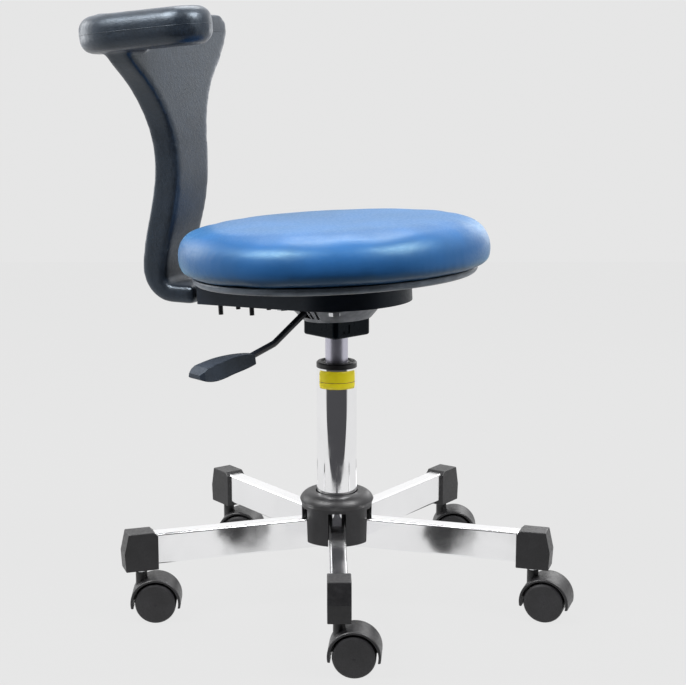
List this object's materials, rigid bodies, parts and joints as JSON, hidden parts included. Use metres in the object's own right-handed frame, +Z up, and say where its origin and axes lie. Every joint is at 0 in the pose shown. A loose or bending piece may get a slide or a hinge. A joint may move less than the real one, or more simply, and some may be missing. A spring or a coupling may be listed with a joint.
{
  "type": "dentist stool",
  "caption": "Rolling dentist stool with a round blue cushion, hooked foam back and arm support, gas lift with side lever, and chromed star base on twin-wheel casters.",
  "frame": {"origin": "on the floor at the column's axis, midway between the caster stems", "axes": "+Z up the column, +X forward from the sitter's view, +Y to the sitter's left"},
  "size_m": [0.5999, 0.5311, 0.7333],
  "materials": {
    "chrome": "polished chrome plate",
    "steel": "bright zinc plated steel",
    "cylinder_steel": "smooth satin plated tube",
    "pan_steel": "light grey pressed steel",
    "hidden_steel": "black coated flat steel",
    "black_plastic": "fine grained black polyamide",
    "box_plastic": "smooth black moulded cover",
    "spacer_plastic": "black moulded block, fine grain",
    "caster_plastic": "satin black polyamide",
    "wheel_plastic": "satin black polyamide",
    "lever_black": "black powder coated rod",
    "handle_plastic": "grained slate-black paddle",
    "back_foam": "self-skinned slate-black foam, fine grain",
    "screw_black": "black oxide",
    "seat_board": "dark board with a covered rim",
    "cushion_vinyl": "smooth blue vinyl",
    "buffer_rubber": "black rubber",
    "label_film": "plain yellow film"
  },
  "bodies": {
    "base": {"hub_tube": "chrome", "arm_1": "chrome", "arm_2": "chrome", "arm_3": "chrome", "arm_4": "chrome", "arm_5": "chrome", "arm_cap_1": "black_plastic", "arm_cap_2": "black_plastic", "arm_cap_3": "black_plastic", "arm_cap_4": "black_plastic", "arm_cap_5": "black_plastic", "caster_sockets": "black_plastic", "caster_stems": "steel", "hub_cover": "black_plastic", "column_tube": "chrome", "guide_bush": "black_plastic", "bearing_lower_race": "steel", "bearing_balls": "steel"},
    "piston": {"piston_rod": "steel", "piston_head": "steel", "bearing_upper_race": "steel", "rod_clip": "steel", "rubber_buffer": "buffer_rubber"},
    "seat": {"gas_cylinder": "cylinder_steel", "rod_guide": "black_plastic", "taper_socket": "pan_steel", "mechanism_pan": "pan_steel", "hub_box": "box_plastic", "mechanism_bolts": "steel", "seat_t_nuts": "steel", "lever_pin": "steel", "back_bar": "hidden_steel", "back_foam": "back_foam", "back_screws": "screw_black", "seat_spacer": "spacer_plastic", "seat_board": "seat_board", "seat_cushion": "cushion_vinyl"},
    "lever": {"lever_rod": "lever_black", "lever_handle": "handle_plastic"},
    "valve": {"valve_pin": "steel"},
    "caster_1": {"caster_hood_1": "caster_plastic", "caster_axle_1": "steel"},
    "wheel_a_1": {"wheel_a_1": "wheel_plastic"},
    "wheel_b_1": {"wheel_b_1": "wheel_plastic"},
    "caster_2": {"caster_hood_2": "caster_plastic", "caster_axle_2": "steel"},
    "wheel_a_2": {"wheel_a_2": "wheel_plastic"},
    "wheel_b_2": {"wheel_b_2": "wheel_plastic"},
    "caster_3": {"caster_hood_3": "caster_plastic", "caster_axle_3": "steel"},
    "wheel_a_3": {"wheel_a_3": "wheel_plastic"},
    "wheel_b_3": {"wheel_b_3": "wheel_plastic"},
    "caster_4": {"caster_hood_4": "caster_plastic", "caster_axle_4": "steel"},
    "wheel_a_4": {"wheel_a_4": "wheel_plastic"},
    "wheel_b_4": {"wheel_b_4": "wheel_plastic"},
    "caster_5": {"caster_hood_5": "caster_plastic", "caster_axle_5": "steel"},
    "wheel_a_5": {"wheel_a_5": "wheel_plastic"},
    "wheel_b_5": {"wheel_b_5": "wheel_plastic"}
  },
  "joints": [
    {"name": "seat_swivel", "type": "hinge", "parent": "base", "child": "piston", "pos_m": [0, 0, 0.08], "axis": [0, 0, 1], "continuous": true},
    {"name": "seat_height", "type": "slide", "parent": "piston", "child": "seat", "axis": [0, 0, 1], "range_m": [0, 0.11]},
    {"name": "lever_lift", "type": "hinge", "parent": "seat", "child": "lever", "pos_m": [-0.01274, -0.03152, 0.3763], "axis": [-0.9272, 0.3746, 0], "range_deg": [0, 5]},
    {"name": "valve_press", "type": "slide", "parent": "seat", "child": "valve", "axis": [0, 0, -1], "range_m": [0, 0.003]},
    {"name": "caster_swivel_1", "type": "hinge", "parent": "base", "child": "caster_1", "pos_m": [0.11194, -0.22354, 0.05], "axis": [0, 0, 1], "continuous": true},
    {"name": "wheel_spin_a_1", "type": "hinge", "parent": "caster_1", "child": "wheel_a_1", "pos_m": [0.12817, -0.21698, 0.0247], "axis": [-0.3746, 0.9272, 0], "continuous": true},
    {"name": "wheel_spin_b_1", "type": "hinge", "parent": "caster_1", "child": "wheel_b_1", "pos_m": [0.12817, -0.21698, 0.0247], "axis": [-0.3746, 0.9272, 0], "continuous": true},
    {"name": "caster_swivel_2", "type": "hinge", "parent": "base", "child": "caster_2", "pos_m": [0.24719, 0.03738, 0.05], "axis": [0, 0, 1], "continuous": true},
    {"name": "wheel_spin_a_2", "type": "hinge", "parent": "caster_2", "child": "wheel_a_2", "pos_m": [0.26456, 0.03952, 0.0247], "axis": [-0.1219, 0.9925, 0], "continuous": true},
    {"name": "wheel_spin_b_2", "type": "hinge", "parent": "caster_2", "child": "wheel_b_2", "pos_m": [0.26456, 0.03952, 0.0247], "axis": [-0.1219, 0.9925, 0], "continuous": true},
    {"name": "caster_swivel_3", "type": "hinge", "parent": "base", "child": "caster_3", "pos_m": [0.04083, 0.24664, 0.05], "axis": [0, 0, 1], "continuous": true},
    {"name": "wheel_spin_a_3", "type": "hinge", "parent": "caster_3", "child": "wheel_a_3", "pos_m": [0.05717, 0.25291, 0.0247], "axis": [-0.3584, 0.9336, 0], "continuous": true},
    {"name": "wheel_spin_b_3", "type": "hinge", "parent": "caster_3", "child": "wheel_b_3", "pos_m": [0.05717, 0.25291, 0.0247], "axis": [-0.3584, 0.9336, 0], "continuous": true},
    {"name": "caster_swivel_4", "type": "hinge", "parent": "base", "child": "caster_4", "pos_m": [-0.22195, 0.11505, 0.05], "axis": [0, 0, 1], "continuous": true},
    {"name": "wheel_spin_a_4", "type": "hinge", "parent": "caster_4", "child": "wheel_a_4", "pos_m": [-0.20531, 0.12046, 0.0247], "axis": [-0.309, 0.9511, 0], "continuous": true},
    {"name": "wheel_spin_b_4", "type": "hinge", "parent": "caster_4", "child": "wheel_b_4", "pos_m": [-0.20531, 0.12046, 0.0247], "axis": [-0.309, 0.9511, 0], "continuous": true},
    {"name": "caster_swivel_5", "type": "hinge", "parent": "base", "child": "caster_5", "pos_m": [-0.17801, -0.17554, 0.05], "axis": [0, 0, 1], "continuous": true},
    {"name": "wheel_spin_a_5", "type": "hinge", "parent": "caster_5", "child": "wheel_a_5", "pos_m": [-0.16256, -0.16732, 0.0247], "axis": [-0.4695, 0.8829, 0], "continuous": true},
    {"name": "wheel_spin_b_5", "type": "hinge", "parent": "caster_5", "child": "wheel_b_5", "pos_m": [-0.16256, -0.16732, 0.0247], "axis": [-0.4695, 0.8829, 0], "continuous": true}
  ],
  "couplings": [
    {"joint": "valve_press", "follows": "lever_lift", "m_per_rad": 0.034}
  ]
}
